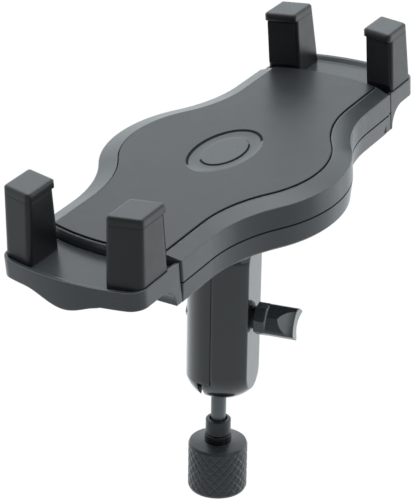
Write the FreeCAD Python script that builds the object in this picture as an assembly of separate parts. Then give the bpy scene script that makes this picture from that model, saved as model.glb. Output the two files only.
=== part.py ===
import FreeCAD, Part
import math
import os

V = FreeCAD.Vector
UP = V(0, 0, 1)

# Microphone nut, collar and lower ball stud
nut_d = 25.2
nut_h = 21.6
nut_chamfer = 0.6
nut_chamfer_h = 1.2
boss_d = 11.5
boss_h = 4.0
thread_d = 14.9
thread_depth = 12.0
lock_nut_flats = 10.0
lock_nut_h = 5.0
collar_d = 10.7
collar_h = 6.9
collar_recess_d = 7.8
collar_recess_h = 2.6
stud_d = 6.0
stem_d = 6.4

# Balls
ball_d = 24.0
coat_t = 2.5
core_d = ball_d - 2 * coat_t
lower_ball_z = 57.5
ball_pitch = 49.0
neck_d = 8.0
core_fit = 0.08
socket_fit = 0.08

# Clamp arm
arm_yaw = 12.0
arm_half_width = 13.9
inner_radius = 13.8
inner_end_radius = 14.3
outer_face = 14.85
flat_width = 15.3
parting_offset = 0.9
parting_gap = 0.3
lip_start = 3.6
lip_reach = 3.7
slot_width = 2.4
clamp_open = 1.5
lower_mouth_angle = 38.0
upper_mouth_angle = 45.0
bolt_d = 6.0
bolt_hole_d = 6.6
bolt_head_flats = 10.0
bolt_head_h = 4.0
spring_pocket_d = 12.0
spring_pocket_depth = 5.0
clamp_spring_d = 9.6
clamp_spring_wire = 1.0
clamp_spring_turns = 5
pocket_width = 12.0
pocket_rib = 3.0

# Wing knob
washer_d = 9.6
washer_t = 1.6
hub_flats = 12.6
hub_length = 3.8
hub_sides = 8
blade_width = 12.6
blade_length = 13.5
blade_thickness = 9.6
blade_edge = 6.4
blade_lean = 35.0
blade_corner = 1.6
tail_radius = 20.0
tail_depth = 1.1
scoop_radius = 15.0
scoop_circle = 8.2
scoop_offset = 1.7
scoop_reach = 0.3
insert_d = 8.4
insert_length = 8.5
thread_fit = 0.05

# Ball base under the holder
base_d = 40.0
base_t = 4.0
base_foot_d = 19.0
base_screw_pcd = 29.0
base_screw_count = 4
base_screw_d = 3.0
base_hole_d = 3.6
base_screw_head_d = 6.6
base_screw_head_h = 2.0
base_screw_depth = 6.0

# Holder placing
holder_tilt = 7.5
ball_to_plate = 45.2
ball_offset = 7.0

# Waisted outlines, each as half width at the ends, half width in the middle, radius of the
# bulge, length of a flank and half length: one for the body and one for the face plate
body_shape = (31.8, 51.2, 48.5, 60.0, 85.4)
plate_shape = (24.6, 42.7, 41.0, 55.4, 84.0)
body_end = body_shape[4]
end_bow = 0.006

# Levels of the holder, down from the top of the face plate
band_top = 0.5
rim_edge = 2.5
seam_level = 11.5
seam_gap = 0.25
base_level = 21.2
wall = 2.4
plate_groove = 0.55
plate_t = 2.2
plate_edge = 0.2
bottom_draft = 1.2
bottom_chamfer = 1.0

# Oval recess of the face plate
oval_x = 12.8
oval_y = 20.8
oval_depth = 0.9
oval_slope = 0.8
oval_inner_share = 0.64
oval_inner_depth = 0.35

# Jaws
grip_shift = 1.0
jaw_gap = 0.8
fixed_jaw_gap = 0.4
jaw_half = 31.2
jaw_bow = 0.005
jaw_corner = 4.8
jaw_rim = 3.1
lip_w = 1.5
tray_slope = 2.0
tray_floor = 4.7
jaw_floor_t = 2.3
apron_level = 10.6
belly_level = 15.0
belly_half = 18.0
belly_back_level = 19.5
belly_back_half = 26.0
cheek_level = 19.4
cheek_flat = 3.2
cheek_curve = 9.0
jaw_wall = 2.2
pull_in = 12.0

# Sliding tongue and its springs
travel = 70.0
tongue_half = 20.0
tongue_t = 3.5
tongue_back = 30.0
ear_w = 2.6
ear_l = 6.0
slide_fit = 0.3
rail_t = 2.0
rail_x = 12.0
spring_d = 6.0
spring_wire = 0.9
spring_x = 8.0
spring_turns = 18
spring_length = 30.0
post_r = 2.0
post_y = 73.0
hook_bend = 3.0

# Shell screws
screw_x = 25.6
screw_y = 68.0
mid_screw_x = 42.0
boss_r = 4.0
screw_d = 2.4
screw_head_d = 5.0
screw_head_h = 2.0
screw_sink = 0.6
screw_hole_d = 3.0

# Claws: corner points in plan as inner and outer x, with their distance along the holder
claw_in_x = 16.7
claw_out_x = 30.6
claw_slope = 0.22
claw_start = 2.5
claw_inner_y = body_end + claw_start
claw_top_depth = 13.9
claw_base_depth = 17.8
claw_top = 23.4
cap_h = 3.4
cap_seam = 0.2
cap_lip = 1.8
claw_corner = 1.5
claw_foot_corner = 3.5
boot_t = 1.8
pad_t = 1.2
pad_margin = 1.0
pad_foot = 4.8
pad_top_gap = 0.6
seat_fit = 0.05
rim_margin = 3.8
jaw_end = claw_inner_y + claw_base_depth + rim_margin


def revolve(points, centre=V(0, 0, 0), axis=UP):
    """Turn a closed outline of (radius, height) points about the Z axis, then place it."""
    wire = Part.makePolygon([V(r, 0, z) for r, z in points + points[:1]])
    solid = Part.Face(wire).revolve(V(0, 0, 0), UP, 360)
    return turned(solid, centre, axis)


def turned(shape, centre, axis):
    """Point the Z axis of a shape along an axis and move its origin to a centre."""
    placed = shape.copy()
    placed.Placement = FreeCAD.Placement(centre, FreeCAD.Rotation(UP, axis))
    return placed


def prism(sides, flats, length):
    """A regular prism on the XY plane, measured across its flats."""
    r = flats / 2 / math.cos(math.pi / sides)
    step = 2 * math.pi / sides
    pts = [V(r * math.cos((i + 0.5) * step), r * math.sin((i + 0.5) * step), 0) for i in range(sides)]
    return Part.Face(Part.makePolygon(pts + pts[:1])).extrude(UP * length)


def box(x0, x1, y0, y1, z0, z1):
    """A box between two corners."""
    return Part.makeBox(x1 - x0, y1 - y0, z1 - z0, V(x0, y0, z0))


def fuse(shapes):
    """Join solids that touch into one."""
    return shapes[0].multiFuse(shapes[1:]).removeSplitter() if len(shapes) > 1 else shapes[0]


def mirrored(shape, normal):
    """Mirror a shape through the origin."""
    return shape.mirror(V(0, 0, 0), normal)


# Knurled nut: turned steel with the female microphone thread below and a small boss on top
def knurled_nut():
    r = nut_d / 2
    body = revolve([
        (0, 0), (r - nut_chamfer, 0), (r, nut_chamfer_h), (r, nut_h - nut_chamfer_h),
        (r - nut_chamfer, nut_h), (boss_d / 2, nut_h), (boss_d / 2, nut_h + boss_h), (0, nut_h + boss_h)])
    thread = Part.makeCylinder(thread_d / 2, thread_depth)
    pocket_d = lock_nut_flats / math.cos(math.pi / 6) + 0.8
    pocket = Part.makeCylinder(pocket_d / 2, lock_nut_h + 0.4, V(0, 0, thread_depth))
    shank = Part.makeCylinder(stud_d / 2 + thread_fit, nut_h + boss_h)
    return body.cut(fuse([thread, pocket, shank]))


def lock_nut():
    z = thread_depth + 0.4
    nut = prism(6, lock_nut_flats, lock_nut_h)
    nut.translate(V(0, 0, z))
    return nut.cut(Part.makeCylinder(stud_d / 2 + thread_fit, lock_nut_h, V(0, 0, z)))


# Collar: a cup that locks the stud on the nut; its rim stands round the foot of the stem
collar_base = nut_h + boss_h
collar_top = collar_base + collar_h
collar_seat = collar_top - collar_recess_h


def collar():
    r = collar_d / 2
    hole = stud_d / 2 + thread_fit
    cup = collar_recess_d / 2
    return revolve([
        (hole, collar_base), (r - 0.3, collar_base), (r, collar_base + 0.3), (r, collar_top - 0.4),
        (r - 0.4, collar_top), (cup, collar_top), (cup, collar_seat), (hole, collar_seat)])


# Lower ball stud: one turned piece with a threaded shank, a stem and the ball core
def ball_stud():
    stem = stem_d / 2
    shank_start = thread_depth + 0.2
    shank = Part.makeCylinder(stud_d / 2, collar_seat - shank_start, V(0, 0, shank_start))
    rod = Part.makeCylinder(stem, lower_ball_z - collar_seat, V(0, 0, collar_seat))
    core = Part.makeSphere(core_d / 2, V(0, 0, lower_ball_z))
    return fuse([shank, rod, core])


def ball_coat(centre, opening, hole_r):
    """A rubber skin over a ball core, open where the stem comes out."""
    skin = Part.makeSphere(ball_d / 2, centre).cut(Part.makeSphere(core_d / 2 + core_fit, centre))
    hole = turned(Part.makeCylinder(hole_r, ball_d), centre, opening)
    return skin.cut(hole)


# Clamp arm: two cast halves with ball sockets at both ends, drawn with the bolt along X,
# the lower ball at the origin and the upper one above it
socket_r = ball_d / 2 + socket_fit
bolt_z = ball_pitch / 2
outer_semi = outer_face / math.sqrt(1 - (flat_width / 2 / arm_half_width) ** 2)
far = 40.0
ends = (0.0, ball_pitch)


def outer_form():
    """Oval bar with rounded ends, cut by one plane on the knob side."""
    oval = Part.Ellipse(V(0, 0, 0), outer_semi, arm_half_width)
    arc = oval.toShape(0, math.pi)
    axis_edge = Part.LineSegment(V(outer_semi, 0, 0), V(-outer_semi, 0, 0)).toShape()
    section = Part.Face(Part.Wire(oval.toShape()))
    half = Part.Face(Part.Wire([arc, axis_edge]))
    bar = section.extrude(UP * ball_pitch)
    low = half.revolve(V(0, 0, 0), V(1, 0, 0), -180)
    high = half.revolve(V(0, 0, 0), V(1, 0, 0), 180)
    high.translate(UP * ball_pitch)
    return fuse([bar, low, high]).common(box(-far, outer_face, -far, far, -far, far + ball_pitch))


def inner_form():
    """Round bar with full ball ends, a little wider than the bar."""
    balls = [Part.makeSphere(inner_end_radius, UP * z) for z in ends]
    middle = box(-far, far, -far, far, 0, ball_pitch)
    bar = Part.makeCylinder(inner_radius, ball_pitch + 2 * far, V(0, 0, -far))
    return bar.common(fuse([middle] + balls))


def end_block(x0, x1):
    """The space past both sockets, between two planes across the bolt."""
    low = box(x0, x1, -far, far, -far, -lip_start)
    high = box(x0, x1, -far, far, ball_pitch + lip_start, ball_pitch + far)
    return low, high


def mouths(shift):
    """Cones that let the stems swing, moved along the bolt by a shift."""
    low = Part.makeCone(0, far * math.tan(math.radians(lower_mouth_angle)), far)
    high = Part.makeCone(0, far * math.tan(math.radians(upper_mouth_angle)), far)
    return [turned(low, V(shift, 0, 0), -UP), turned(high, V(shift, 0, ball_pitch), UP)]


def bolt_way(r, x0, x1):
    """A round passage on the bolt axis."""
    return Part.makeCylinder(r, x1 - x0, V(x0, 0, bolt_z), V(1, 0, 0))


def relief_pocket(x0, x1):
    """Hollow between the sockets, one each side of the bolt boss."""
    boss = spring_pocket_d / 2 + pocket_rib
    low = box(x0, x1, -pocket_width / 2, pocket_width / 2, 0, bolt_z - boss)
    high = box(x0, x1, -pocket_width / 2, pocket_width / 2, bolt_z + boss, ball_pitch)
    return [low, high]


def arm_outer_half():
    split = parting_offset + parting_gap / 2
    lip_x = parting_offset - lip_reach
    keep = fuse([box(split, far, -far, far, -far, far + ball_pitch)] + list(end_block(lip_x, far)))
    body = outer_form().common(keep)
    cuts = mouths(0) + mouths(-clamp_open)
    for z in ends:
        cuts.append(Part.makeSphere(socket_r, V(0, 0, z)))
        cuts.append(Part.makeSphere(socket_r, V(-clamp_open, 0, z)))
        cuts.append(Part.makeCylinder(socket_r, clamp_open, V(-clamp_open, 0, z), V(1, 0, 0)))
    cuts.append(bolt_way(bolt_hole_d / 2, -far, far))
    cuts.append(bolt_way(spring_pocket_d / 2, -far, parting_offset + spring_pocket_depth))
    cuts += relief_pocket(-far, parting_offset + spring_pocket_depth)
    return body.cut(cuts)


def arm_inner_half():
    split = parting_offset - parting_gap / 2
    body = inner_form().common(box(-far, split, -far, far, -far, far + ball_pitch))
    cuts = list(end_block(parting_offset - lip_reach - slot_width, far)) + mouths(0)
    cuts += [Part.makeSphere(socket_r, V(0, 0, z)) for z in ends]
    cuts.append(bolt_way(bolt_hole_d / 2, -far, far))
    cuts.append(bolt_way(spring_pocket_d / 2, parting_offset - spring_pocket_depth, far))
    cuts += relief_pocket(parting_offset - spring_pocket_depth, far)
    head = turned(prism(6, bolt_head_flats + 0.4, far), V(bolt_head_seat, 0, bolt_z), V(-1, 0, 0))
    return body.cut(cuts + [head])


bolt_head_seat = -inner_radius + bolt_head_h + 0.6
washer_start = outer_face
knob_start = washer_start + washer_t + 0.05
bolt_end = knob_start + insert_length - 1.0


def clamp_bolt():
    head = turned(prism(6, bolt_head_flats, bolt_head_h), V(bolt_head_seat, 0, bolt_z), V(-1, 0, 0))
    return fuse([head, bolt_way(bolt_d / 2, bolt_head_seat, bolt_end)])


def coil(outer_d, wire_d, turns, length, steps=14, sides=6):
    """Coil along Z: sections of the wire set round a helix and joined by straight faces."""
    r = (outer_d - wire_d) / 2
    sections = []
    for i in range(turns * steps + 1):
        a = 2 * math.pi * i / steps
        z = length * i / (turns * steps)
        ring = []
        for k in range(sides):
            b = 2 * math.pi * k / sides
            reach = r + wire_d / 2 * math.cos(b)
            ring.append(V(reach * math.cos(a), reach * math.sin(a), z + wire_d / 2 * math.sin(b)))
        sections.append(Part.makePolygon(ring + ring[:1]))
    return Part.makeLoft(sections, True, True)


def clamp_spring():
    room = 2 * spring_pocket_depth - clamp_spring_wire - 0.6
    spring = coil(clamp_spring_d, clamp_spring_wire, clamp_spring_turns, room)
    return turned(spring, V(parting_offset - room / 2, 0, bolt_z), V(1, 0, 0))


def knob_washer():
    ring = bolt_way(washer_d / 2, washer_start, washer_start + washer_t)
    return ring.cut(bolt_way(bolt_hole_d / 2, -far, far))


# Wing knob: moulded grip with a brass insert; drawn along Z from its seat, then laid on the bolt
def wing_knob():
    hub = prism(hub_sides, hub_flats, hub_length + 1.0)
    w = blade_width / 2
    t = blade_thickness / 2
    tip = hub_length + blade_length
    e = blade_edge / 2
    section = [V(x, y, hub_length) for x, y in ((-w, -e), (0, -t), (w, -e), (w, e), (0, t), (-w, e))]
    blade = Part.Face(Part.makePolygon(section + section[:1])).extrude(UP * blade_length)
    corners = [edge for edge in blade.Edges
               if abs(edge.Vertexes[0].Z - edge.Vertexes[-1].Z) > 1 and abs(edge.Vertexes[0].X) > w / 2]
    blade = blade.makeFillet(blade_corner, corners)
    tail = Part.makeCylinder(tail_radius, far, V(0, -far / 2, tip + tail_radius - tail_depth), V(0, 1, 0))
    stand_off = math.sqrt(scoop_radius ** 2 - scoop_circle ** 2)
    scoops = []
    for side in (-1, 1):
        centre = V(-side * scoop_offset, side * (t + stand_off), tip + scoop_reach)
        scoops.append(Part.makeSphere(scoop_radius, centre))
    grip = fuse([hub, blade]).cut([tail] + scoops)
    grip = grip.cut(Part.makeCylinder(insert_d / 2, insert_length))
    return on_bolt(grip)


def on_bolt(shape):
    """Lay a knob piece on the bolt axis with its blade upright and leaning back."""
    upright = FreeCAD.Placement(V(0, 0, 0), FreeCAD.Rotation(UP, -blade_lean))
    laid = shape.copy()
    along = FreeCAD.Placement(V(knob_start, 0, bolt_z), FreeCAD.Rotation(V(0, 1, 0), 90))
    laid.Placement = along.multiply(upright)
    return laid


def knob_insert():
    sleeve = Part.makeCylinder(insert_d / 2, insert_length)
    return on_bolt(sleeve.cut(Part.makeCylinder(bolt_d / 2 + thread_fit, insert_length)))


# Holder outline: straight ends, then a concave and a convex arc to the bulge at the middle
def outline(shape, inset, z):
    end_w, mid_w, bulge_r, flank, end_y = shape
    e = end_w - inset
    m = mid_w - inset
    r2 = bulge_r - inset
    turn = 2 * math.atan((m - e) / flank)
    r1 = flank / math.sin(turn) - r2
    xi = m - r2 * (1 - math.cos(turn))
    yi = r2 * math.sin(turn)
    xm = e + r1 * (1 - math.cos(turn / 2))
    ym = flank - r1 * math.sin(turn / 2)
    yc = end_y - inset
    ys = yc - end_bow * e * e
    right = [
        Part.LineSegment(V(e, -ys, z), V(e, -flank, z)),
        Part.Arc(V(e, -flank, z), V(xm, -ym, z), V(xi, -yi, z)),
        Part.Arc(V(xi, -yi, z), V(m, 0, z), V(xi, yi, z)),
        Part.Arc(V(xi, yi, z), V(xm, ym, z), V(e, flank, z)),
        Part.LineSegment(V(e, flank, z), V(e, ys, z))]
    far_end = [Part.Arc(V(e, ys, z), V(0, yc, z), V(-e, ys, z))]
    left = [
        Part.LineSegment(V(-e, ys, z), V(-e, flank, z)),
        Part.Arc(V(-e, flank, z), V(-xm, ym, z), V(-xi, yi, z)),
        Part.Arc(V(-xi, yi, z), V(-m, 0, z), V(-xi, -yi, z)),
        Part.Arc(V(-xi, -yi, z), V(-xm, -ym, z), V(-e, -flank, z)),
        Part.LineSegment(V(-e, -flank, z), V(-e, -ys, z))]
    near_end = [Part.Arc(V(-e, -ys, z), V(0, -yc, z), V(e, -ys, z))]
    return Part.Wire([c.toShape() for c in right + far_end + left + near_end])


def slab(shape, inset, z0, z1):
    """A waisted plate between two levels."""
    return Part.Face(outline(shape, inset, z0)).extrude(UP * (z1 - z0))


def taper(shape0, inset0, z0, shape1, inset1, z1):
    """A waisted form whose sides slope from one outline and level to another."""
    return Part.makeLoft([outline(shape0, inset0, z0), outline(shape1, inset1, z1)], True, True)


def screw_spots():
    spots = [(x * screw_x, y * screw_y) for x in (-1, 1) for y in (-1, 1)]
    return spots + [(x * mid_screw_x, 0) for x in (-1, 1)]


def columns(r, z0, z1):
    """One round column at each shell screw."""
    return [Part.makeCylinder(r, z1 - z0, V(x, y, z0)) for x, y in screw_spots()]


roof_level = plate_t + wall
tongue_top = tray_floor + jaw_floor_t
tongue_low = tongue_top + tongue_t


# Face plate: thin moulded cover with a shallow oval in its middle
def face_plate():
    low = slab(plate_shape, 0, -plate_t, -plate_edge)
    plate = fuse([low, taper(plate_shape, 0, -plate_edge, plate_shape, plate_edge, 0)])
    rim = oval_cone(1.0, 0, oval_depth, oval_slope)
    inner = oval_cone(oval_inner_share, oval_depth, oval_inner_depth, oval_slope / 2)
    return plate.cut([rim, inner])


def oval_wire(scale, inset, z):
    arc = Part.Ellipse(V(0, 0, z), oval_y * scale - inset, oval_x * scale - inset)
    wire = Part.Wire(arc.toShape())
    wire.rotate(V(0, 0, 0), UP, 90)
    return wire


def oval_cone(scale, start, depth, slope):
    """An oval pocket whose wall slopes inwards to its floor."""
    lift = 0.2
    grow = slope * lift / depth
    top = oval_wire(scale, -grow, lift - start)
    return Part.makeLoft([top, oval_wire(scale, slope, -start - depth)], True, True)


# Upper shell: waisted cover with a sloping rim band, a pocket for the plate and ribs for the tongue
def upper_shell():
    low = -seam_level
    skirt = slab(body_shape, 0, low, -rim_edge)
    band = taper(body_shape, 0, -rim_edge, plate_shape, -plate_groove, -band_top)
    pocket = slab(plate_shape, -plate_groove, -plate_t, 1)
    hollow = slab(body_shape, wall, low - 1, -roof_level)
    shell = fuse([skirt, band]).cut([pocket, hollow])
    rib_x = tongue_half + slide_fit
    rib_end = tongue_back - grip_shift - ear_l - travel - 0.4
    wall_y = -body_end + wall
    right_rib = box(rib_x, rib_x + rail_t, wall_y, rib_end, low, -roof_level + 1)
    ribs = [right_rib, mirrored(right_rib, V(1, 0, 0))]
    shell = fuse([shell] + ribs + columns(boss_r, low, -roof_level + 1))
    mouth = box(-rib_x, rib_x, -body_end - 5, wall_y + 6, low - 1, -tongue_top + slide_fit)
    holes = columns(screw_d / 2 + thread_fit, low - 1, -roof_level - 0.6)
    return shell.common(slab(body_shape, 0, low, 0)).cut([mouth] + holes)


# Jaw form: tray with a raised lip, shallow apron, a rounded belly and deep side cheeks
def jaw_outline(inset, z, start, bow):
    """Plan of a jaw from an inner curve that follows the body end out to its bowed rim."""
    h = jaw_half - inset
    yc = jaw_end - inset
    ys = yc - jaw_bow * h * h
    r = jaw_corner - inset
    inner_c = start
    inner_s = start - bow * h * h
    slope = 2 * jaw_bow * h
    shift = r * (1 + slope * 0.5)
    bend = V(h - r * 0.29, ys - r * 0.29 + slope * r * 0.35, z)
    edges = [
        Part.LineSegment(V(h, inner_s, z), V(h, ys - shift, z)),
        Part.Arc(V(h, ys - shift, z), bend, V(h - r, ys + slope * r, z)),
        Part.Arc(V(h - r, ys + slope * r, z), V(0, yc, z), V(r - h, ys + slope * r, z)),
        Part.Arc(V(r - h, ys + slope * r, z), V(-bend.x, bend.y, z), V(-h, ys - shift, z)),
        Part.LineSegment(V(-h, ys - shift, z), V(-h, inner_s, z))]
    if bow:
        edges.append(Part.Arc(V(-h, inner_s, z), V(0, inner_c, z), V(h, inner_s, z)))
    else:
        edges.append(Part.LineSegment(V(-h, inner_s, z), V(h, inner_s, z)))
    return Part.Wire([e.toShape() for e in edges])


def cheek_side(inset, start):
    """Side view of the jaw: full depth beside the body, then a hollow curve up to the apron."""
    low = -cheek_level + inset
    apron = -apron_level + inset
    y0 = start - end_bow * jaw_half ** 2 + cheek_flat - inset
    rise = apron - low
    begin = V(-far, y0, low)
    end = V(-far, y0 + cheek_curve, apron)
    mid = V(-far, y0 + cheek_curve * 0.29, low + rise * 0.71)
    far_y = jaw_end + 5
    edges = [
        Part.Arc(begin, mid, end),
        Part.LineSegment(end, V(-far, far_y, apron)),
        Part.LineSegment(V(-far, far_y, apron), V(-far, far_y, 5)),
        Part.LineSegment(V(-far, far_y, 5), V(-far, 0, 5)),
        Part.LineSegment(V(-far, 0, 5), V(-far, 0, low)),
        Part.LineSegment(V(-far, 0, low), begin)]
    return Part.Face(Part.Wire([e.toShape() for e in edges])).extrude(V(2 * far, 0, 0))


def belly_wire(y, half, level, inset):
    """End view of the jaw at a distance: a shallow apron that swells into a belly in the middle."""
    apron = -apron_level + inset
    drop = apron_level - level
    steps = 12
    pts = []
    for i in range(steps + 1):
        x = -half + 2 * half * i / steps
        pts.append(V(x, y, apron + drop * 0.5 * (1 + math.cos(math.pi * x / half))))
    curve = Part.BSplineCurve()
    curve.interpolate(pts, InitialTangent=V(1, 0, 0), FinalTangent=V(1, 0, 0))
    right = [V(half, y, apron), V(far, y, apron), V(far, y, 5)]
    corners = right + [V(-p.x, y, p.z) for p in reversed(right)]
    sides = [Part.LineSegment(corners[i], corners[i + 1]).toShape() for i in range(5)]
    return Part.Wire([curve.toShape()] + sides)


def belly(inset, start):
    """The belly runs deeper and wider from the rim back to the body."""
    front = belly_wire(jaw_end, belly_half, belly_level, inset)
    back = belly_wire(start - 6, belly_back_half, belly_back_level, inset)
    return Part.makeLoft([back, front], True, True)


def jaw_form(inset, start, inner, bow, top):
    """Outer form of a jaw, or its hollow when drawn in, from an inner edge out to the rim."""
    plan = Part.Face(jaw_outline(inset, -base_level, inner, bow)).extrude(UP * (base_level + top))
    return plan.common(fuse([cheek_side(inset, start), belly(inset, start)]))


def jaw(start):
    """A jaw on the far side: shell, tray and the two posts under the claw boots."""
    body = jaw_form(0, start, start, end_bow, -jaw_rim)
    edge = jaw_outline(lip_w, -jaw_rim, start - 6, end_bow)
    bowl = Part.makeLoft([jaw_outline(lip_w + tray_slope, -tray_floor, start - 6, end_bow), edge], True, True)
    tray = fuse([bowl, Part.Face(edge).extrude(UP * far)])
    under = jaw_form(jaw_wall, start, start - pull_in, 0, -tray_floor - jaw_floor_t)
    seats = [claw_block(s, -tray_floor, far, seat_fit) for s in (-1, 1)]
    return fuse([body.cut([tray, under] + seats)] + [claw_post(s) for s in (-1, 1)])


# Claws: each is a post of its jaw under a moulded rubber boot with a hooked cap and a black pad
def claw_corners(z, grow, lip):
    """Plan corners of a claw at a level; grow moves every face out, lip moves the inner face in."""
    share = (z + tray_floor) / (claw_top + tray_floor)
    outer = claw_inner_y + claw_base_depth + (claw_top_depth - claw_base_depth) * share + grow
    inner = claw_inner_y - grow - lip
    x0 = claw_in_x - grow
    x1 = claw_out_x + grow
    drop = claw_slope * (x1 - x0)
    return [V(x0, inner, z), V(x1, inner - drop, z), V(x1, outer - drop, z), V(x0, outer, z)]


def rounded(points, radii):
    """A closed outline with each corner rounded by its own radius."""
    edges = []
    n = len(points)
    starts = []
    stops = []
    for i in range(n):
        p = points[i]
        a = (points[i - 1] - p).normalize()
        b = (points[(i + 1) % n] - p).normalize()
        half = a.getAngle(b) / 2
        reach = radii[i] / math.tan(half)
        centre = p + (a + b).normalize() * (radii[i] / math.sin(half))
        starts.append(p + a * reach)
        stops.append(p + b * reach)
        middle = centre + (p - centre).normalize() * radii[i]
        edges.append(Part.Arc(starts[i], middle, stops[i]).toShape())
    sides = [Part.LineSegment(stops[i], starts[(i + 1) % n]).toShape() for i in range(n)]
    joined = []
    for i in range(n):
        joined += [edges[i], sides[i]]
    return Part.Wire(joined)


def claw_wire(z, grow=0.0, lip=0.0):
    share = (z + tray_floor) / (claw_top + tray_floor)
    foot = claw_foot_corner + (claw_corner - claw_foot_corner) * share
    r = claw_corner
    limits = [max(0.3, r + grow), max(0.3, r + grow), max(0.3, foot + grow), max(0.3, r + grow)]
    return rounded(claw_corners(z, grow, lip), limits)


def claw_block(side, z0, z1, grow=0.0, lip=0.0, top_grow=None):
    """A claw-shaped block between two levels, on the right for side 1 and the left for side -1."""
    last = grow if top_grow is None else top_grow
    block = Part.makeLoft([claw_wire(z0, grow, lip), claw_wire(z1, last, lip)], True, True)
    return block if side > 0 else mirrored(block, V(1, 0, 0))


def claw_post(side):
    foot = -tray_floor - jaw_floor_t
    return claw_block(side, foot, claw_top - cap_h - 1.0, -boot_t)


def claw_boot(side):
    """Rubber boot: tapered sleeve, a fine seam and a cap that hooks over the inner face."""
    neck = claw_top - cap_h
    cap_edge = claw_top - 0.7
    sleeve = claw_block(side, -tray_floor, neck - cap_seam, 0)
    seam = claw_block(side, neck - cap_seam, neck, -cap_seam)
    cap = claw_block(side, neck, cap_edge, 0, cap_lip)
    crown = claw_block(side, cap_edge, claw_top, 0, cap_lip, -0.7)
    boot = fuse([sleeve, seam, cap, crown])
    return boot.cut([claw_block(side, -tray_floor - 2, claw_top - cap_h - 1.0, -boot_t), pad_form(side)])


def pad_form(side):
    """Pad block set half into the inner face of a boot."""
    low = -tray_floor + pad_foot
    high = claw_top - cap_h - cap_seam - pad_top_gap
    x0 = claw_in_x + pad_margin
    x1 = claw_out_x - pad_margin
    y0 = claw_inner_y - claw_slope * pad_margin
    drop = claw_slope * (x1 - x0)
    face = [V(x0, y0 - pad_t / 2, low), V(x1, y0 - drop - pad_t / 2, low),
            V(x1, y0 - drop + pad_t / 2, low), V(x0, y0 + pad_t / 2, low)]
    block = Part.Face(Part.makePolygon(face + face[:1])).extrude(UP * (high - low))
    return block if side > 0 else mirrored(block, V(1, 0, 0))


# Back shell: lower cover in one piece with the fixed jaw
def back_shell():
    top = -seam_level - seam_gap
    edge = -base_level + bottom_chamfer
    sides = taper(body_shape, bottom_draft, edge, body_shape, 0, top)
    foot = taper(body_shape, bottom_draft + bottom_chamfer, -base_level, body_shape, bottom_draft, edge)
    floor = -base_level + wall
    hollow = slab(body_shape, wall + bottom_draft, floor, 0)
    tub = fuse([sides, foot]).cut(hollow)
    rail = box(rail_x - rail_t / 2, rail_x + rail_t / 2, -body_end + wall + 4, post_y - 6, floor - 1,
               -tongue_low - slide_fit)
    posts = [Part.makeCylinder(post_r, -tongue_top - floor + 1, V(s * spring_x, post_y, floor - 1))
             for s in (-1, 1)]
    tub = fuse([tub, rail, mirrored(rail, V(1, 0, 0))] + posts + columns(boss_r, floor - 1, top))
    start = body_end + grip_shift + fixed_jaw_gap
    inside = jaw_form(jaw_wall, start, start - pull_in, 0, top + 1)
    joint = jaw_form(0, start, start - wall, end_bow, top).cut(inside)
    shell = fuse([tub, at_far(fuse([jaw(start), joint]))])
    heads = columns(screw_head_d / 2 + 0.2, -base_level - 1, -base_level + screw_head_h + screw_sink)
    holes = columns(screw_hole_d / 2, -base_level - 1, top + 1)
    pilot_length = base_screw_depth + 1.5
    pilots = [Part.makeCylinder(base_screw_d / 2 + thread_fit, pilot_length, V(x, y, -base_level - 1))
              for x, y in base_spots()]
    return shell.cut(heads + holes + pilots)


def base_spots():
    r = base_screw_pcd / 2
    turn = 2 * math.pi / base_screw_count
    return [(r * math.cos((i + 0.5) * turn), r * math.sin((i + 0.5) * turn) - ball_offset)
            for i in range(base_screw_count)]


def at_far(shape):
    """Move a piece drawn from the middle between the claws to the far end of the body."""
    moved = shape.copy()
    moved.translate(V(0, -grip_shift, 0))
    return moved


def at_near(shape):
    """The same for the near end."""
    return at_far(mirrored(shape, V(0, 1, 0)))


# Sliding jaw: the same form turned round, with a flat tongue that runs inside the body
def sliding_jaw():
    body = jaw(body_end - grip_shift + jaw_gap)
    root = jaw_end - pull_in
    tongue = box(-tongue_half, tongue_half, -tongue_back, root, -tongue_low, -tongue_top)
    ears = box(-tongue_half - ear_w, tongue_half + ear_w, -tongue_back, -tongue_back + ear_l,
               -tongue_low, -tongue_top)
    notches = [box(s * spring_x - 1.2, s * spring_x + 1.2, -tongue_back - 1, -tongue_back + 1.6,
                   -tongue_low - 1, -tongue_top + 1) for s in (-1, 1)]
    return fuse([body, tongue, ears]).cut(notches)


# Extension springs: close-wound coils with a loop at each end, shown at the closed length
def extension_spring(side):
    z = -(tongue_top + tongue_low) / 2
    y0 = tongue_back - grip_shift + hook_bend
    r = spring_d / 2
    w = spring_wire / 2
    pitch = spring_length / spring_turns
    loop_r = post_r + w + 0.1
    far_tip = post_y - loop_r + w / 2 - y0
    profile = [(0, -hook_bend), (w, -hook_bend), (w, 0)]
    for i in range(spring_turns):
        profile += [(r - w, i * pitch), (r, (i + 0.5) * pitch)]
    profile += [(r - w, spring_length), (w, spring_length), (w, far_tip), (0, far_tip)]
    coils = revolve(profile, V(side * spring_x, y0, z), V(0, 1, 0))
    h = w + 0.05
    loop = revolve([(loop_r - w, -h), (loop_r + w, -h), (loop_r + w, h), (loop_r - w, h)],
                   V(side * spring_x, post_y, z))
    return fuse([coils, loop])


# Ball base: cast plate with the upper ball core on a short neck
def ball_base():
    low = -base_level - base_t
    centre = V(0, -ball_offset, -ball_to_plate)
    neck_start = -ball_to_plate
    foot = 3.2
    r = base_d / 2
    plate = revolve([
        (0, neck_start), (neck_d / 2, neck_start), (neck_d / 2, low - foot), (base_foot_d / 2, low),
        (r - 0.8, low), (r, low + 0.8), (r, -base_level), (0, -base_level)])
    plate.translate(V(0, -ball_offset, 0))
    body = fuse([plate, Part.makeSphere(core_d / 2, centre)])
    holes = [Part.makeCylinder(base_hole_d / 2, base_t + 2, V(x, y, low - 1)) for x, y in base_spots()]
    return body.cut(holes)


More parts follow.
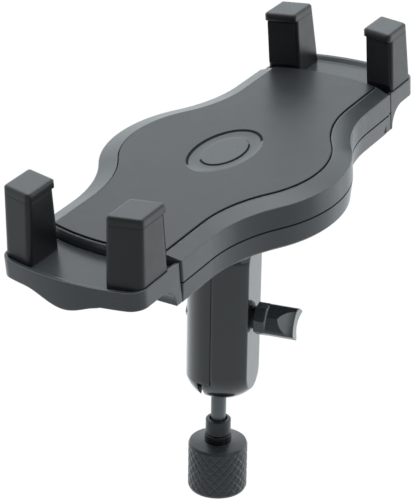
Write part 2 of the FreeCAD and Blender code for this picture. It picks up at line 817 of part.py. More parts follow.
def pan_screw(x, y, head_z, head_d, head_h, shank_d, length):
    """Pan-head screw whose head seat is at a level, with the shank going up."""
    r = head_d / 2
    screw = revolve([
        (0, -head_h), (r - 0.7, -head_h), (r, -head_h + 0.7), (r, 0), (shank_d / 2, 0),
        (shank_d / 2, length - 0.8), (0.3, length), (0, length)], V(x, y, head_z))
    slot = box(x - 0.4, x + 0.4, y - r * 0.6, y + r * 0.6, head_z - head_h - 0.1, head_z - head_h + 0.9)
    cross = box(x - r * 0.6, x + r * 0.6, y - 0.4, y + 0.4, head_z - head_h - 0.1, head_z - head_h + 0.9)
    return screw.cut([slot, cross])


def base_screws():
    seat = -base_level - base_t
    length = base_t + base_screw_depth
    return Part.Compound([
        pan_screw(x, y, seat, base_screw_head_d, base_screw_head_h, base_screw_d, length)
        for x, y in base_spots()])


def shell_screws():
    seat = -base_level + screw_head_h + screw_sink
    length = -roof_level - 1.5 - seat
    return Part.Compound([
        pan_screw(x, y, seat, screw_head_d, screw_head_h, screw_d, length)
        for x, y in screw_spots()])


# Placing: the arm turns about Z, the holder tilts about X through the upper ball
lower_ball = V(0, 0, lower_ball_z)
upper_ball = V(0, 0, lower_ball_z + ball_pitch)
arm_place = FreeCAD.Placement(lower_ball, FreeCAD.Rotation(UP, arm_yaw))
tilt = FreeCAD.Rotation(V(1, 0, 0), holder_tilt)
holder_place = FreeCAD.Placement(upper_ball, tilt).multiply(
    FreeCAD.Placement(V(0, ball_offset, ball_to_plate), FreeCAD.Rotation()))
holder_up = tilt.multVec(UP)


def placed(shape, placement):
    moved = shape.copy()
    moved.Placement = placement.multiply(moved.Placement)
    return moved


def in_arm(shape):
    return placed(shape, arm_place)


def in_holder(shape):
    return placed(shape, holder_place)


nodes = {
    "knurled_nut": knurled_nut(),
    "lock_nut": lock_nut(),
    "collar": collar(),
    "ball_stud": ball_stud(),
    "lower_ball": ball_coat(lower_ball, -UP, stem_d / 2 + core_fit),
    "arm_inner_half": in_arm(arm_inner_half()),
    "arm_outer_half": in_arm(arm_outer_half()),
    "clamp_bolt": in_arm(clamp_bolt()),
    "clamp_spring": in_arm(clamp_spring()),
    "knob_washer": in_arm(knob_washer()),
    "wing_knob": in_arm(wing_knob()),
    "knob_insert": in_arm(knob_insert()),
    "upper_ball": ball_coat(upper_ball, holder_up, neck_d / 2 + core_fit),
    "ball_base": in_holder(ball_base()),
    "base_screws": in_holder(base_screws()),
    "back_shell": in_holder(back_shell()),
    "upper_shell": in_holder(upper_shell()),
    "face_plate": in_holder(face_plate()),
    "shell_screws": in_holder(shell_screws()),
    "sliding_jaw": in_holder(at_near(sliding_jaw())),
}
for side, hand in ((-1, "left"), (1, "right")):
    boot = claw_boot(side)
    pad = pad_form(side)
    nodes["far_" + hand + "_claw"] = in_holder(at_far(boot))
    nodes["far_" + hand + "_pad"] = in_holder(at_far(pad))
    nodes["near_" + hand + "_claw"] = in_holder(at_near(boot))
    nodes["near_" + hand + "_pad"] = in_holder(at_near(pad))
    nodes[hand + "_jaw_spring"] = in_holder(extension_spring(side))

os.makedirs("parts", exist_ok=True)
for name, shape in nodes.items():
    shape.exportStep("parts/" + name + ".step")
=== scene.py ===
import math

import bpy
import numpy as np
from mathutils import Matrix, Vector


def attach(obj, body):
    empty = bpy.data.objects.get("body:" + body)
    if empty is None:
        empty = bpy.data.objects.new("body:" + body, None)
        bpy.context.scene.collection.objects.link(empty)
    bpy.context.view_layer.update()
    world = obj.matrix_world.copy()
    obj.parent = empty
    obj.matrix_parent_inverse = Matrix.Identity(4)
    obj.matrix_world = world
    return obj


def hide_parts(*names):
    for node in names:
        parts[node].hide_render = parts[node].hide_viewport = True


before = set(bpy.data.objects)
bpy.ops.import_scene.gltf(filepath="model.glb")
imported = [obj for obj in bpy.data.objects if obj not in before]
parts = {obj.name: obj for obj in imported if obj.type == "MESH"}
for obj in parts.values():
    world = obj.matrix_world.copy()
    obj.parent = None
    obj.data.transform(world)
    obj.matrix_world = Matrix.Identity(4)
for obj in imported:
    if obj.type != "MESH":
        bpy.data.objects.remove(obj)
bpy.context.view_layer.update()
view = bpy.context.scene

# The view: a long lens looks down on the holder from its near right corner, as in the photograph.
# The camera's right, up and backward directions and its place are in the frame of the model.
camera_axes = Matrix((
    (0.83911, 0.54379, 0.01409),
    (-0.22102, 0.31716, 0.92226),
    (0.49704, -0.77699, 0.38632)))
camera_place = (0.36787, -0.58600, 0.39911)
camera = bpy.data.objects.new("camera", bpy.data.cameras.new("camera"))
view.collection.objects.link(camera)
camera.matrix_world = Matrix.Translation(camera_place) @ camera_axes.transposed().to_4x4()
camera.data.lens = 132.516
camera.data.clip_start = 0.05
view.camera = camera
view.view_settings.view_transform = "Standard"

# The studio: a lit backdrop behind the object and a dimmer room in front of it, which the dark
# plastics mirror. Eyes see plain white. A pale floor lies where a stand of usual height puts it.
cool_white = (0.922, 0.977, 1.0, 1.0)
plain_white = (1.0, 1.0, 1.0, 1.0)
seen_rays = ["Is Camera Ray", "Is Transmission Ray"]
backdrop_side = (-0.52, 0.80, 0.30)
room_glow = {"low": -0.5, "high": 0.75, "dim": 0.28, "strong": 1.38}


def lay(tree, kind, wires=None, **settings):
    """A shader node; wires gives each input its value or the socket that feeds it."""
    made = tree.nodes.new("ShaderNode" + kind)
    for name, value in settings.items():
        setattr(made, name, value)
    for name, value in (wires or {}).items():
        if isinstance(value, bpy.types.NodeSocket):
            tree.links.new(value, made.inputs[name])
        else:
            made.inputs[name].default_value = value
    return made


def any_ray(tree, kinds):
    """One where a ray is of any of the named kinds."""
    path = lay(tree, "LightPath")
    found = path.outputs[kinds[0]]
    for kind in kinds[1:]:
        found = lay(tree, "Math", {0: found, 1: path.outputs[kind]}, operation="MAXIMUM").outputs[0]
    return found


def along(tree, direction, axis):
    """How far a direction reaches along an axis: their dot product."""
    return lay(tree, "VectorMath", {0: direction, 1: axis}, operation="DOT_PRODUCT").outputs["Value"]


def swept(tree, value, low, high, dim, strong):
    """A smooth climb from dim to strong as a value goes from low to high."""
    return lay(tree, "MapRange", {"Value": value, "From Min": low, "From Max": high,
                                  "To Min": dim, "To Max": strong},
               interpolation_type="SMOOTHSTEP").outputs["Result"]


studio = bpy.data.worlds.new("studio")
view.world = studio
studio.use_nodes = True
room = studio.node_tree
room.nodes.clear()
facing = along(room, lay(room, "TexCoord").outputs["Generated"], backdrop_side)
lit = lay(room, "Background", {"Color": cool_white, "Strength": swept(room, facing, **room_glow)})
white = lay(room, "Background", {"Color": plain_white, "Strength": 1.0})
mixed = lay(room, "MixShader", {0: any_ray(room, seen_rays), 1: lit.outputs[0], 2: white.outputs[0]})
room.links.new(mixed.outputs[0], lay(room, "OutputWorld").inputs["Surface"])


def softbox(name, place, target, width, power):
    """A square lamp of a width in metres and a power in watts, turned to face a target."""
    lamp = bpy.data.lights.new(name, "AREA")
    lamp.shape = "SQUARE"
    lamp.size = width
    lamp.energy = power
    made = bpy.data.objects.new(name, lamp)
    view.collection.objects.link(made)
    aim = (Vector(target) - Vector(place)).to_track_quat("-Z", "Y")
    made.matrix_world = Matrix.Translation(place) @ aim.to_matrix().to_4x4()


middle = (0.0, 0.0, 0.12)
softbox("key", place=(1.25, -0.15, 0.55), target=middle, width=0.9, power=1.6)
softbox("top", place=(-0.1, 0.2, 1.4), target=middle, width=1.1, power=7.0)
softbox("side", place=(0.95, 1.15, -0.10), target=middle, width=1.1, power=2.2)

floor_level = -0.9
floor_reach = 8.0
floor_behind = (-0.42, 0.90, 0.0)
floor_glow = {"low": -1.6, "high": 1.6, "dim": 0.58, "strong": 1.02}
floor_paint = (0.8, 0.8, 0.8, 1.0)
floor_brightness = 1.04
floor_shade = 0.1
sides = [(-1, -1), (1, -1), (1, 1), (-1, 1)]
floor_mesh = bpy.data.meshes.new("floor")
corners = [(floor_reach * x, floor_reach * y, floor_level) for x, y in sides]
floor_mesh.from_pydata(corners, [], [(0, 1, 2, 3)])
floor = bpy.data.objects.new("floor", floor_mesh)
view.collection.objects.link(floor)
pale = bpy.data.materials.new("pale_floor")
pale.use_nodes = True
ground = pale.node_tree
ground.nodes.clear()
soft = lay(ground, "BsdfDiffuse", {"Color": floor_paint})
bright = lay(ground, "Emission", {"Color": plain_white, "Strength": floor_brightness})
seen = lay(ground, "MixShader", {0: floor_shade, 1: bright.outputs[0], 2: soft.outputs[0]})
behind = along(ground, lay(ground, "TexCoord").outputs["Object"], floor_behind)
shine = lay(ground, "Emission", {"Color": cool_white, "Strength": swept(ground, behind, **floor_glow)})
glossy = any_ray(ground, ["Is Glossy Ray"])
mirrored = lay(ground, "MixShader", {0: glossy, 1: soft.outputs[0], 2: shine.outputs[0]})
both = lay(ground, "MixShader", {0: any_ray(ground, seen_rays), 1: mirrored.outputs[0], 2: seen.outputs[0]})
ground.links.new(both.outputs[0], lay(ground, "OutputMaterial").inputs["Surface"])
floor_mesh.materials.append(pale)

# The stand nut: turned steel, blackened, with a coarse diamond knurl rolled round its side and a
# fine microphone thread cut in its bore. It is one closed surface carried round the vertical axis.
# Sizes are in millimetres; the rim gives how far each point is in from the side and up from the end.
mm = 0.001
nut_radius = 12.6
nut_height = 21.6
nut_rim = [(0.7, 0.0), (0.55, 0.05), (0.05, 1.1), (0.0, 1.25)]
bore_mouth = 8.1
boss_radius = 5.75
boss_top = 25.6
boss_foot = 0.1
hole_radius = 3.05
hole_lead = 0.2
small_edge = 0.25
pocket_radius = 6.17
pocket_top = 17.4
thread_top = 12.0
knurl_margin = 1.35
knurl_depth = 0.27
knurl_sharpness = 2.6
knurl_fade = 0.7
knurls_round = 20
knurl_pitch = 4.26
thread_radius = 7.45
thread_pitch = 0.9407
thread_cut = 0.42
thread_margin = 0.1
thread_start = 0.5
thread_runout = 0.8
steps_round = 400
steps_up = 86
sharp_nut_edge = math.radians(40)


def smooth_piece(name, points, faces, body):
    """A smooth mesh, from points in millimetres, as a piece that rides on a body."""
    mesh = bpy.data.meshes.new(name)
    mesh.from_pydata(points * mm, [], faces)
    mesh.update()
    mesh.polygons.foreach_set("use_smooth", np.ones(len(faces), bool))
    made = bpy.data.objects.new(name, mesh)
    view.collection.objects.link(made)
    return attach(made, body)


def carried(name, profile_r, profile_z, relief, body):
    """A closed surface: a ring of profile points, each moved out by its relief, carried round Z.
    Point (i, j) is at angle 2 pi j / n, at radius r(i) + relief(i, j) and height z(i)."""
    rows, n = relief.shape
    angle = 2 * math.pi * np.arange(n) / n
    radius = profile_r[:, None] + relief
    height = np.repeat(profile_z[:, None], n, 1)
    points = np.stack([radius * np.cos(angle), radius * np.sin(angle), height], 2).reshape(-1, 3)
    index = np.arange(rows * n).reshape(rows, n)
    right_of = np.roll(index, -1, 1)
    quads = np.stack([index, right_of, np.roll(right_of, -1, 0), np.roll(index, -1, 0)], 2).reshape(-1, 4)
    return smooth_piece(name, points, quads.tolist(), body)


def wave(x):
    """A triangle wave of period one: one at whole numbers and nought half-way between."""
    return np.abs(2 * (x - np.floor(x)) - 1)


side_z = np.linspace(knurl_margin, nut_height - knurl_margin, steps_up)
thread_z = np.linspace(thread_top - thread_margin, thread_start, steps_up)
under = [(bore_mouth, 0.0)] + [(nut_radius - inset, rise) for inset, rise in nut_rim]
side = [(nut_radius, z) for z in side_z]
over = [(nut_radius - inset, nut_height - rise) for inset, rise in reversed(nut_rim)]
boss = [(boss_radius + small_edge, nut_height), (boss_radius, nut_height + boss_foot),
        (boss_radius, boss_top - small_edge), (boss_radius - small_edge, boss_top)]
hole = [(hole_radius + small_edge, boss_top), (hole_radius, boss_top - hole_lead), (hole_radius, pocket_top)]
pocket = [(pocket_radius, pocket_top), (pocket_radius, thread_top), (thread_radius, thread_top)]
bore = [(thread_radius, z) for z in thread_z]
profile = np.array(under + side + over + boss + hole + pocket + bore)

# The knurl: two mirrored sets of grooves, and the metal stands where neither runs. The thread: a
# triangle wave that climbs by one pitch in each turn and runs out at its top
turn = np.arange(steps_round)[None, :] / steps_round
relief = np.zeros((len(profile), steps_round))
around = knurls_round * turn
climb = side_z[:, None] / knurl_pitch
diamond = np.clip(knurl_sharpness * np.minimum(wave(around + climb), wave(around - climb)), 0, 1)
from_end = np.minimum(side_z, nut_height - side_z) - knurl_margin
fade = np.clip(from_end / knurl_fade, 0, 1)[:, None]
relief[len(under):len(under + side)] = -knurl_depth * (1 - diamond) * fade
runout = np.clip((thread_top - thread_margin - thread_z) / thread_runout, 0, 1)[:, None]
relief[-len(bore):] = thread_cut * wave(thread_z[:, None] / thread_pitch - turn) * runout

nut = carried("stand_nut", profile[:, 0], profile[:, 1], relief, "root")
nut.data.set_sharp_from_angle(angle=sharp_nut_edge)
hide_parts("knurled_nut")


def socket_group(name, inputs, outputs):
    """A node group with named sockets, given as kind, name and, for an input, its first value."""
    tree = bpy.data.node_groups.new(name, "ShaderNodeTree")
    for kind, label, value in inputs:
        made = tree.interface.new_socket(label, in_out="INPUT", socket_type="NodeSocket" + kind)
        if value is not None:
            made.default_value = value
    for kind, label in outputs:
        tree.interface.new_socket(label, in_out="OUTPUT", socket_type="NodeSocket" + kind)
    return tree, tree.nodes.new("NodeGroupInput").outputs, tree.nodes.new("NodeGroupOutput").inputs


def noise_of(tree, size, finer, detail, roughness):
    """Noise on Object coordinates whose grains are a size in metres, divided by a whole number."""
    where = lay(tree, "TexCoord").outputs["Object"]
    count = lay(tree, "Math", {0: finer, 1: size}, operation="DIVIDE").outputs[0]
    return lay(tree, "TexNoise", {"Vector": where, "Scale": count, "Detail": detail,
                                  "Roughness": roughness}).outputs[0]


# Rounded edges: the normal is bent over each edge within a radius, and the bend is the edge mask,
# which starts and is full at these cosines of the bend
bend_start = 0.995
bend_full = 0.80
edges, given, gives = socket_group(
    "rounded_edges", [("Float", "Radius", 0.0003)], [("Vector", "Normal"), ("Float", "Edge")])
bend = lay(edges, "Bevel", {"Radius": given["Radius"]}, samples=14).outputs[0]
same = along(edges, bend, lay(edges, "NewGeometry").outputs["Normal"])
edge = lay(edges, "MapRange", {"Value": same, "From Min": bend_start, "From Max": bend_full})
edges.links.new(bend, gives["Normal"])
edges.links.new(edge.outputs["Result"], gives["Edge"])

# Fine grain: small bumps over the whole surface, with a shade that follows them
grain, given, gives = socket_group(
    "fine_grain", [("Float", "Size", 0.0004), ("Float", "Depth", 0.00001), ("Vector", "Normal", None)],
    [("Vector", "Normal"), ("Float", "Shade")])
specks = noise_of(grain, given["Size"], finer=1.0, detail=3.0, roughness=0.6)
raised = lay(grain, "Bump", {"Strength": 1.0, "Distance": given["Depth"], "Height": specks,
                             "Normal": given["Normal"]})
grain.links.new(raised.outputs[0], gives["Normal"])
grain.links.new(specks, gives["Shade"])

# Handling: broad soft patches where hands and cloths have changed the surface, and smudges in them.
# Such noise lies mostly between its low and its high, and so does the product of two.
noise_low = 0.3
noise_high = 0.7
product_low = 0.12
product_high = 0.40
handling, given, gives = socket_group(
    "handling", [("Float", "Size", 0.03)], [("Float", "Patches"), ("Float", "Smudges")])
handling.links.new(noise_of(handling, given["Size"], finer=1.0, detail=2.0, roughness=0.5), gives["Patches"])
handling.links.new(noise_of(handling, given["Size"], finer=6.0, detail=4.0, roughness=0.65), gives["Smudges"])


def use(tree, group, wires):
    """The outputs of a shared group, placed with its inputs set or wired."""
    return lay(tree, "Group", wires, node_tree=group).outputs


def finish_of(name, dark, light, worn_and_lit_edge, rough, spread, grain_size, grain_depth, edge_radius,
              patch_size=0.03, edge_wear_and_light=0.3, **constants):
    """A finish: colour runs from dark to light with the patches and grain, edges lean to a lighter
    colour that is part wear and part painted highlight, roughness spreads round its middle with
    the smudges, and the grain bends the normal."""
    made = bpy.data.materials.new(name)
    made.use_nodes = True
    tree = made.node_tree
    tree.nodes.clear()
    soft_edge = use(tree, edges, {"Radius": edge_radius})
    skin = use(tree, grain, {"Size": grain_size, "Depth": grain_depth, "Normal": soft_edge["Normal"]})
    touched = use(tree, handling, {"Size": patch_size})
    shade = lay(tree, "Math", {0: touched["Patches"], 1: skin["Shade"]}, operation="MULTIPLY")
    share = lay(tree, "MapRange", {"Value": shade.outputs[0],
                                   "From Min": product_low, "From Max": product_high})
    body = lay(tree, "MixRGB", {"Fac": share.outputs[0], "Color1": (*dark, 1.0), "Color2": (*light, 1.0)})
    # Edges lean to the edge colour: part wear, part painted highlight along the edges.
    edge_smudged = lay(tree, "Math", {0: soft_edge["Edge"], 1: touched["Smudges"]}, operation="MULTIPLY")
    wear_and_light_share = lay(tree, "Math", {0: edge_smudged.outputs[0], 1: edge_wear_and_light * 2.0}, operation="MULTIPLY", use_clamp=True)
    colour = lay(tree, "MixRGB", {"Fac": wear_and_light_share.outputs[0], "Color1": body.outputs[0],
                                  "Color2": (*worn_and_lit_edge, 1.0)})
    matt = lay(tree, "MapRange", {"Value": touched["Smudges"], "From Min": noise_low, "From Max": noise_high,
                                  "To Min": rough - spread, "To Max": rough + spread})
    shell = lay(tree, "BsdfPrincipled", {"Base Color": colour.outputs[0], "Roughness": matt.outputs[0],
                                         "Normal": skin["Normal"], **constants})
    tree.links.new(shell.outputs[0], lay(tree, "OutputMaterial").inputs["Surface"])
    return made


# Its edges and the tips of the knurl are painted pale: part wear, part painted highlight.
nut_steel = finish_of(
    "blackened_nut_steel", dark=(0.026, 0.031, 0.034), light=(0.046, 0.052, 0.056), worn_and_lit_edge=(0.32, 0.34, 0.35),
    rough=0.26, spread=0.06, grain_size=0.0005, grain_depth=0.000005, edge_radius=0.00025, edge_wear_and_light=0.6,
    Metallic=0.0, IOR=1.45)
nut.data.materials.append(nut_steel)

# Boss of the nut, where the nut grips the collar: the same steel, left smooth and near black
boss_black = finish_of(
    "black_boss", dark=(0.004, 0.005, 0.006), light=(0.008, 0.009, 0.010), worn_and_lit_edge=(0.04, 0.045, 0.05),
    rough=0.22, spread=0.05, grain_size=0.0004, grain_depth=0.000003, edge_radius=0.0003, IOR=1.45)
nut.data.materials.append(boss_black)
on_boss = (profile[:, 1] > nut_height) & (profile[:, 0] > hole_radius + small_edge)
nut.data.polygons.foreach_set("material_index", np.repeat(on_boss.astype(int), steps_round))


def dress(finish, *names):
    """Give CAD nodes a finish."""
    for name in names:
        slots = parts[name].data.materials
        slots.clear()
        slots.append(finish)


# Collar, lock nut and ball stud: turned steel. The collar is blackened; the stud's stem is bare
# and polished, because the arm swings round it.
black_steel = finish_of(
    "blackened_steel", dark=(0.022, 0.026, 0.028), light=(0.034, 0.038, 0.040), worn_and_lit_edge=(0.24, 0.25, 0.26),
    rough=0.32, spread=0.08, grain_size=0.0004, grain_depth=0.000004, edge_radius=0.00025, edge_wear_and_light=0.5,
    Metallic=0.35, IOR=1.6)
dress(black_steel, "collar", "lock_nut")
stud_steel = finish_of(
    "stud_steel", dark=(0.13, 0.145, 0.145), light=(0.19, 0.205, 0.205), worn_and_lit_edge=(0.35, 0.36, 0.36),
    rough=0.34, spread=0.06, grain_size=0.0004, grain_depth=0.000003, edge_radius=0.0002, Metallic=0.8)
dress(stud_steel, "ball_stud")

# Ball skins: black rubber moulded over both steel balls, so that the sockets grip without slip.
ball_rubber = finish_of(
    "ball_rubber", dark=(0.012, 0.012, 0.013), light=(0.022, 0.022, 0.023), worn_and_lit_edge=(0.05, 0.05, 0.05),
    rough=0.66, spread=0.06, grain_size=0.0006, grain_depth=0.00003, edge_radius=0.0003,
    **{"Specular IOR Level": 0.3})
dress(ball_rubber, "lower_ball", "upper_ball")

# Clamp arm: two die-cast halves, powder coated dark and smooth. A clear coat over the powder gives
# the long soft highlights on the barrel and on the flat that was cut for the knob.
cast_coat = finish_of(
    "cast_arm_coat", dark=(0.008, 0.011, 0.0125), light=(0.012, 0.0155, 0.0175), worn_and_lit_edge=(0.05, 0.056, 0.059),
    rough=0.24, spread=0.03, grain_size=0.0012, grain_depth=0.0000015, edge_radius=0.0024, edge_wear_and_light=0.1,
    **{"IOR": 1.5, "Coat Weight": 1.0, "Coat Roughness": 0.12})
dress(cast_coat, "arm_outer_half", "arm_inner_half")

# Clamp bolt, the springs and the holder's screws: zinc-plated steel. The washer under the knob is
# the same steel, blackened.
plated = finish_of(
    "plated_steel", dark=(0.42, 0.43, 0.43), light=(0.58, 0.59, 0.58), worn_and_lit_edge=(0.72, 0.72, 0.70),
    rough=0.32, spread=0.07, grain_size=0.0005, grain_depth=0.000004, edge_radius=0.0002, Metallic=0.9)
dress(plated, "clamp_bolt", "clamp_spring", "left_jaw_spring", "right_jaw_spring")
dress(plated, "shell_screws", "base_screws")
dark_washer = finish_of(
    "dark_washer", dark=(0.03, 0.032, 0.034), light=(0.045, 0.048, 0.05), worn_and_lit_edge=(0.2, 0.2, 0.2),
    rough=0.35, spread=0.05, grain_size=0.0004, grain_depth=0.000003, edge_radius=0.0002, Metallic=0.5)
dress(dark_washer, "knob_washer")

# Wing knob: glossy black nylon moulded over a threaded brass insert. Its thumb scoops are painted
# paler and greyer towards the tip, a painted reflection of the bright backdrop.
arm_axis = (0.978, 0.208, 0.0)
scoop_painted_light = (0.27, 0.285, 0.29, 1.0)


def turned_to(finish, axis, low, high):
    """A mask for a finish: nought to one as the face's reach along an axis goes from low to high."""
    tree = finish.node_tree
    reach = along(tree, lay(tree, "NewGeometry").outputs["True Normal"], axis)
    return lay(tree, "MapRange", {"Value": reach, "From Min": low, "From Max": high}).outputs["Result"]


def shaded(finish, mask, colour, dullness=None):
    """Lay a colour, and a roughness if one is given, over a finish where a mask is one."""
    tree = finish.node_tree
    shell = tree.nodes["Principled BSDF"].inputs
    plain = shell["Base Color"].links[0].from_socket
    over = lay(tree, "MixRGB", {"Fac": mask, "Color1": plain, "Color2": colour})
    tree.links.new(over.outputs[0], shell["Base Color"])
    if dullness is not None:
        satin = shell["Roughness"].links[0].from_socket
        dull = lay(tree, "MapRange", {"Value": mask, "To Min": satin, "To Max": dullness})
        tree.links.new(dull.outputs["Result"], shell["Roughness"])


knob_nylon = finish_of(
    "knob_nylon", dark=(0.034, 0.038, 0.042), light=(0.048, 0.054, 0.058), worn_and_lit_edge=(0.12, 0.128, 0.132),
    rough=0.26, spread=0.04, grain_size=0.0009, grain_depth=0.000003, edge_radius=0.0008, IOR=1.6)
# Painted reflection: faces turned along the arm get a paler grey.
shaded(knob_nylon, turned_to(knob_nylon, arm_axis, low=0.03, high=0.30), scoop_painted_light)
dress(knob_nylon, "wing_knob")
brass = finish_of(
    "turned_brass", dark=(0.55, 0.40, 0.16), light=(0.68, 0.52, 0.24), worn_and_lit_edge=(0.8, 0.66, 0.36),
    rough=0.30, spread=0.06, grain_size=0.0004, grain_depth=0.000004, edge_radius=0.0002, Metallic=1.0)
dress(brass, "knob_insert")

# Ball base: a cast plate with the upper ball on its neck, screwed under the housing and coated as
# the arm is, but matt.
base_coat = finish_of(
    "base_coat", dark=(0.030, 0.033, 0.035), light=(0.044, 0.048, 0.050), worn_and_lit_edge=(0.12, 0.125, 0.13),
    rough=0.45, spread=0.05, grain_size=0.0012, grain_depth=0.00002, edge_radius=0.0004, edge_wear_and_light=0.25)
dress(base_coat, "ball_base")

# Housing: the upper and back shells and the sliding jaw are injection-moulded charcoal plastic with
# a fine satin texture from the mould.
# Its edges are painted pale: part wear, part painted highlight.
jaw_plastic = finish_of(
    "jaw_plastic", dark=(0.042, 0.048, 0.052), light=(0.054, 0.061, 0.065), worn_and_lit_edge=(0.30, 0.315, 0.325),
    rough=0.24, spread=0.03, grain_size=0.0005, grain_depth=0.000004, edge_radius=0.0008, edge_wear_and_light=0.5, IOR=1.5)
dress(jaw_plastic, "sliding_jaw")
shell_plastic = jaw_plastic.copy()
shell_plastic.name = "shell_plastic"
dress(shell_plastic, "upper_shell", "back_shell")

# Shade in the two fine joints of the housing: the seam between its shells all round, up to the end
# of the body, and the line across each side where the far jaw begins. Both lie in the tilted frame
# of the holder, so the coordinates are first turned level about the upper ball.
holder_tilt = math.radians(7.5)
upper_ball = Vector((0.0, 0.0, 106.5))
plate_centre = Vector((0.0, 7.0, 45.2))
seam_level = 11.6
body_end = 82.0
joint_half = 0.34
joint_black = (0.004, 0.004, 0.005, 1.0)
joint_dullness = 0.9


def within(tree, value, middle, half):
    """One where a length is within half of a middle one, fading out at a third more."""
    off = lay(tree, "Math", {0: value, 1: middle}, operation="SUBTRACT").outputs[0]
    far_off = lay(tree, "Math", {0: off}, operation="ABSOLUTE").outputs[0]
    return lay(tree, "MapRange", {"Value": far_off, "From Min": half, "From Max": half * 4 / 3,
                                  "To Min": 1.0, "To Max": 0.0}).outputs["Result"]


skin = shell_plastic.node_tree
seam_z = (upper_ball.z + plate_centre.z - seam_level) * mm
end_y = (plate_centre.y + body_end) * mm
level = lay(skin, "VectorRotate", {"Vector": lay(skin, "TexCoord").outputs["Object"],
                                   "Center": upper_ball * mm, "Angle": -holder_tilt}, rotation_type="X_AXIS")
place = lay(skin, "SeparateXYZ", {0: level.outputs["Vector"]}).outputs
at_seam = within(skin, place["Z"], seam_z, joint_half * mm)
at_end = within(skin, place["Y"], end_y, joint_half * mm)
on_body = lay(skin, "Math", {0: place["Y"], 1: end_y}, operation="LESS_THAN").outputs[0]
seam = lay(skin, "Math", {0: at_seam, 1: on_body}, operation="MULTIPLY").outputs[0]
joint = lay(skin, "Math", {0: seam, 1: at_end}, operation="MAXIMUM").outputs[0]
shaded(shell_plastic, joint, joint_black, joint_dullness)

# Face plate: a thin moulded cover of the same plastic, smoother and a little darker. Its upright
# rim stands in the groove of the housing, dull and in the shade.
plate_up = (0.0, -math.sin(holder_tilt), math.cos(holder_tilt))
plate_plastic = finish_of(
    "plate_plastic", dark=(0.018, 0.022, 0.024), light=(0.025, 0.029, 0.031), worn_and_lit_edge=(0.06, 0.066, 0.069),
    rough=0.34, spread=0.03, grain_size=0.0004, grain_depth=0.000005, edge_radius=0.0003,
    patch_size=0.05, edge_wear_and_light=0.15)
upright = turned_to(plate_plastic, plate_up, low=0.80, high=0.55)
shaded(plate_plastic, upright, joint_black, joint_dullness)
dress(plate_plastic, "face_plate")

# Oval of the plate: a hollow with a steep wall round a raised island, a little smoother than the
# plate and painted lighter, a painted reflection. The wall on the far side and the island's on the
# near side are painted near black and matt, a painted shade. It lines the hollow of the plate.
oval_x = 12.8
oval_y = 20.8
hollow_depth = 0.58
wall_width = 1.1
rim_drop = 0.02
lining = 0.1
island_x = 7.6
island_y = 12.6
island_depth = 0.16
island_slope = 1.0
near_side = math.radians(-40)
far_mark_end = 0.1
near_mark_end = 0.05
ring_points = 240
wall_steps = 12
top_steps = 9
sharp_oval_edge = math.radians(30)


def eased(share):
    """A smooth climb from nought to one: 3 s^2 - 2 s^3."""
    return share * share * (3 - 2 * share)


def stacked(name, rows, body):
    """A closed body of oval rings in the holder's frame, each given as half width, half length and
    height: point j is (a cos t, b sin t, z) with t = 2 pi j / n. Flat faces close both ends."""
    half_width, half_length, height = np.array(rows).T[:, :, None]
    angle = 2 * math.pi * np.arange(ring_points) / ring_points
    across = half_width * np.cos(angle)
    lengthwise = half_length * np.sin(angle)
    points = np.stack([across, lengthwise, np.repeat(height, ring_points, 1)], 2).reshape(-1, 3)
    index = np.arange(len(points)).reshape(len(rows), ring_points)
    after = np.roll(index, -1, 1)
    quads = np.stack([index[:-1], after[:-1], after[1:], index[1:]], 2).reshape(-1, 4).tolist()
    ends = [index[0][::-1].tolist(), index[-1].tolist()]
    tilt = np.array(Matrix.Rotation(holder_tilt, 3, "X"))
    return smooth_piece(name, (points + plate_centre) @ tilt.T + upper_ball, quads + ends, body)


floor_z = -rim_drop - hollow_depth
oval_rows = [(oval_x, oval_y, floor_z - lining), (oval_x, oval_y, -rim_drop),
             (oval_x - wall_width, oval_y - wall_width, floor_z)]
island_foot = len(oval_rows)
for share in np.linspace(0, 1, wall_steps):
    spread = (1 - share) * island_slope
    rise = (hollow_depth - island_depth) * eased(share)
    oval_rows.append((island_x + spread, island_y + spread, floor_z + rise))
island_crest = len(oval_rows) - 2
for share in np.linspace(0.9, 0.1, top_steps):
    oval_rows.append((island_x * share, island_y * share, -island_depth))
dish = stacked("plate_oval", oval_rows, "cradle")
dish.data.set_sharp_from_angle(angle=sharp_oval_edge)

# The island and the hollow are painted lighter than the plate: a painted reflection.
oval_sheen = finish_of(
    "oval_painted_sheen", dark=(0.052, 0.058, 0.061), light=(0.062, 0.069, 0.072), worn_and_lit_edge=(0.11, 0.118, 0.122),
    rough=0.30, spread=0.03, grain_size=0.0004, grain_depth=0.000003, edge_radius=0.0, edge_wear_and_light=0.1)
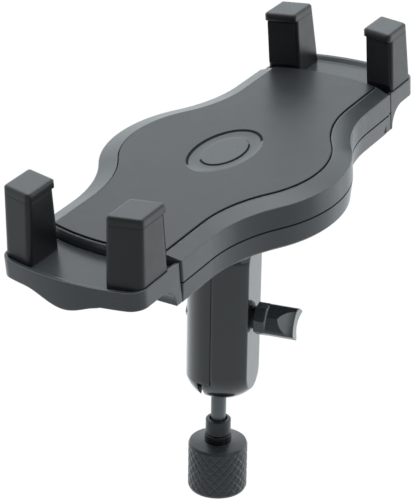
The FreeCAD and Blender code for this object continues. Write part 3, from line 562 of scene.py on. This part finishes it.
# The shaded walls are painted near black: a painted shade.
oval_wall_shade = finish_of(
    "oval_wall_painted_shade", dark=(0.004, 0.005, 0.006), light=(0.007, 0.008, 0.009), worn_and_lit_edge=(0.010, 0.011, 0.012),
    rough=0.60, spread=0.05, grain_size=0.0004, grain_depth=0.000010, edge_radius=0.0001, edge_wear_and_light=0.1, IOR=1.2)
dish.data.materials.append(oval_sheen)
dish.data.materials.append(oval_wall_shade)
row_of, point_of = np.divmod(np.arange((len(oval_rows) - 1) * ring_points), ring_points)
nearness = np.cos(2 * math.pi * point_of / ring_points - near_side)
# Faces painted with the shade: the far part of the outer wall and the near part of the island's wall.
far_wall = (row_of == 1) & (nearness < far_mark_end)
near_wall = (row_of > island_foot) & (row_of < island_crest) & (nearness > near_mark_end)
end_faces = [False, False]
dish.data.polygons.foreach_set("material_index", np.append(far_wall | near_wall, end_faces).astype(int))

# Claw boots: soft charcoal rubber drawn over the jaws' posts. Their tops are painted a little
# greyer, as painted light from above.
boot_top_light = (0.044, 0.049, 0.051, 1.0)
claw_rubber = finish_of(
    "claw_rubber", dark=(0.006, 0.0078, 0.0088), light=(0.0095, 0.0118, 0.0130), worn_and_lit_edge=(0.12, 0.128, 0.133),
    rough=0.33, spread=0.04, grain_size=0.0006, grain_depth=0.000007, edge_radius=0.0018, IOR=1.52)
# Painted light: faces turned up get a paler grey.
shaded(claw_rubber, turned_to(claw_rubber, plate_up, low=0.75, high=0.98), boot_top_light)
dress(claw_rubber, "far_left_claw", "far_right_claw", "near_left_claw", "near_right_claw")

# Pads: black closed-cell foam let into the inner face of each claw and glued there.
pad_foam = finish_of(
    "pad_foam", dark=(0.010, 0.0115, 0.013), light=(0.017, 0.0195, 0.0215), worn_and_lit_edge=(0.03, 0.03, 0.03),
    rough=0.75, spread=0.05, grain_size=0.0005, grain_depth=0.00003, edge_radius=0.0002,
    **{"Specular IOR Level": 0.3})
dress(pad_foam, "far_left_pad", "far_right_pad", "near_left_pad", "near_right_pad")
